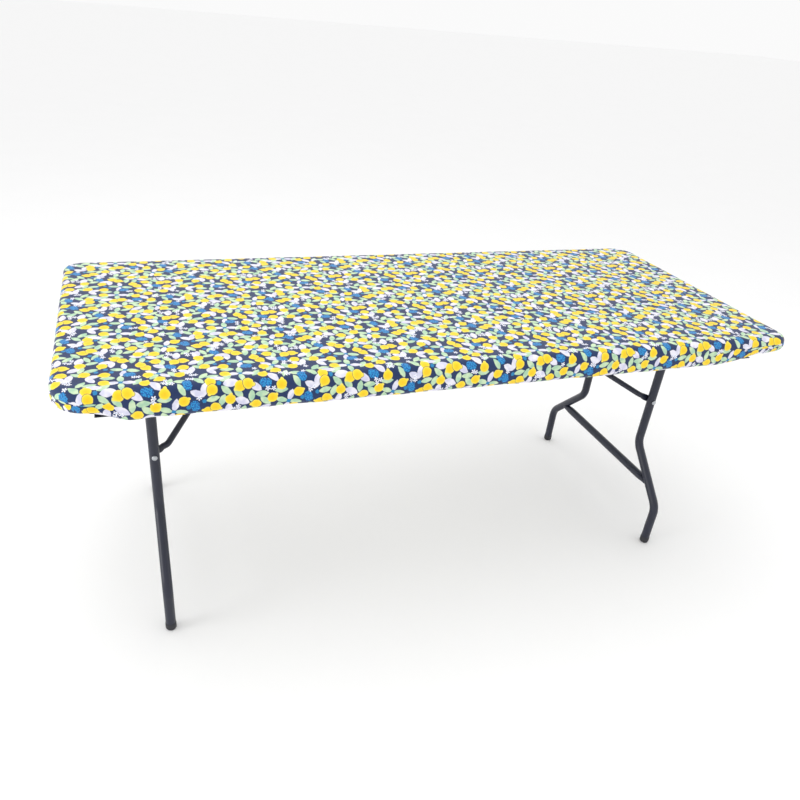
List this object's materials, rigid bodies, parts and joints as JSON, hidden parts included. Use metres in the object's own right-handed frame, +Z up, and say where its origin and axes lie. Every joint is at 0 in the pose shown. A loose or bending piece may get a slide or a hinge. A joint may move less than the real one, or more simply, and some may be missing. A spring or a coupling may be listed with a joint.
{
  "type": "fitted tablecloth on folding table",
  "caption": "Elastic-edged fitted tablecloth with a citrus and leaf print, stretched over a rectangular folding table with bent steel leg frames and folding braces.",
  "frame": {"origin": "on the floor, at the centre of the table's footprint", "axes": "+X along the table's length, +Y from front to back across its width, +Z up"},
  "size_m": [1.8346, 0.7666, 0.7423],
  "materials": {
    "printed_polyester": "woven polyester with a dark blue ground and an all-over print of yellow fruit, pale green leaves, white petals and blue flowers",
    "hem_fabric": "pale reverse side of the printed cloth, folded into a hem",
    "elastic_braid": "white braided elastic",
    "moulded_hdpe": "off-white blow-moulded plastic with a fine grain",
    "powder_coated_steel": "charcoal powder coat with a soft sheen",
    "zinc_plate": "bright zinc-plated steel",
    "foot_plastic": "black moulded plastic cap"
  },
  "bodies": {
    "table": {"table_top": "moulded_hdpe", "rail_front": "powder_coated_steel", "rail_back": "powder_coated_steel", "rail_screw_front_left": "zinc_plate", "rail_screw_front_middle": "zinc_plate", "rail_screw_front_right": "zinc_plate", "rail_screw_back_left": "zinc_plate", "rail_screw_back_middle": "zinc_plate", "rail_screw_back_right": "zinc_plate", "left_anchor_bar": "powder_coated_steel", "right_anchor_bar": "powder_coated_steel", "cloth_panel": "printed_polyester", "hem_casing": "hem_fabric", "hem_elastic": "elastic_braid"},
    "left_leg_frame": {"left_pivot_tube": "powder_coated_steel", "left_leg_front": "powder_coated_steel", "left_leg_back": "powder_coated_steel", "left_crossbar": "powder_coated_steel", "left_foot_front": "foot_plastic", "left_foot_back": "foot_plastic", "left_leg_rivet_front": "zinc_plate", "left_leg_rivet_back": "zinc_plate"},
    "left_brace_arms": {"left_brace_arm_front": "powder_coated_steel", "left_brace_arm_back": "powder_coated_steel", "left_knee_rivet_front": "zinc_plate", "left_knee_rivet_back": "zinc_plate"},
    "left_brace_link": {"left_brace_link": "powder_coated_steel", "left_knee_pin": "zinc_plate"},
    "left_lock_ring": {"left_lock_ring": "zinc_plate"},
    "right_leg_frame": {"right_pivot_tube": "powder_coated_steel", "right_leg_front": "powder_coated_steel", "right_leg_back": "powder_coated_steel", "right_crossbar": "powder_coated_steel", "right_foot_front": "foot_plastic", "right_foot_back": "foot_plastic", "right_leg_rivet_front": "zinc_plate", "right_leg_rivet_back": "zinc_plate"},
    "right_brace_arms": {"right_brace_arm_front": "powder_coated_steel", "right_brace_arm_back": "powder_coated_steel", "right_knee_rivet_front": "zinc_plate", "right_knee_rivet_back": "zinc_plate"},
    "right_brace_link": {"right_brace_link": "powder_coated_steel", "right_knee_pin": "zinc_plate"},
    "right_lock_ring": {"right_lock_ring": "zinc_plate"}
  },
  "joints": [
    {"name": "right_leg_fold", "type": "hinge", "parent": "table", "child": "right_leg_frame", "pos_m": [0.7322, 0, 0.6775], "axis": [0, 1, 0], "range_deg": [0, 86]},
    {"name": "right_brace_fold", "type": "hinge", "parent": "right_leg_frame", "child": "right_brace_arms", "pos_m": [0.7322, 0, 0.4345], "axis": [0, 1, 0], "range_deg": [0, 64.12]},
    {"name": "right_link_fold", "type": "hinge", "parent": "table", "child": "right_brace_link", "pos_m": [0.16, 0, 0.686], "axis": [0, -1, 0], "range_deg": [0, 22.59]},
    {"name": "right_ring_slide", "type": "slide", "parent": "right_brace_link", "child": "right_lock_ring", "axis": [-0.9155, 0, 0.4024], "range_m": [0, 0.04]},
    {"name": "left_leg_fold", "type": "hinge", "parent": "table", "child": "left_leg_frame", "pos_m": [-0.7322, 0, 0.6775], "axis": [0, -1, 0], "range_deg": [0, 86]},
    {"name": "left_brace_fold", "type": "hinge", "parent": "left_leg_frame", "child": "left_brace_arms", "pos_m": [-0.7322, 0, 0.4345], "axis": [0, -1, 0], "range_deg": [0, 64.12]},
    {"name": "left_link_fold", "type": "hinge", "parent": "table", "child": "left_brace_link", "pos_m": [-0.16, 0, 0.686], "axis": [0, 1, 0], "range_deg": [0, 22.59]},
    {"name": "left_ring_slide", "type": "slide", "parent": "left_brace_link", "child": "left_lock_ring", "axis": [0.9155, 0, 0.4024], "range_m": [0, 0.04]}
  ],
  "couplings": [
    {"joint": "right_brace_fold", "follows": "right_leg_fold", "ratio": 0.74545},
    {"joint": "right_link_fold", "follows": "right_leg_fold", "ratio": 0.26254},
    {"joint": "left_brace_fold", "follows": "left_leg_fold", "ratio": 0.74545},
    {"joint": "left_link_fold", "follows": "left_leg_fold", "ratio": 0.26254}
  ]
}
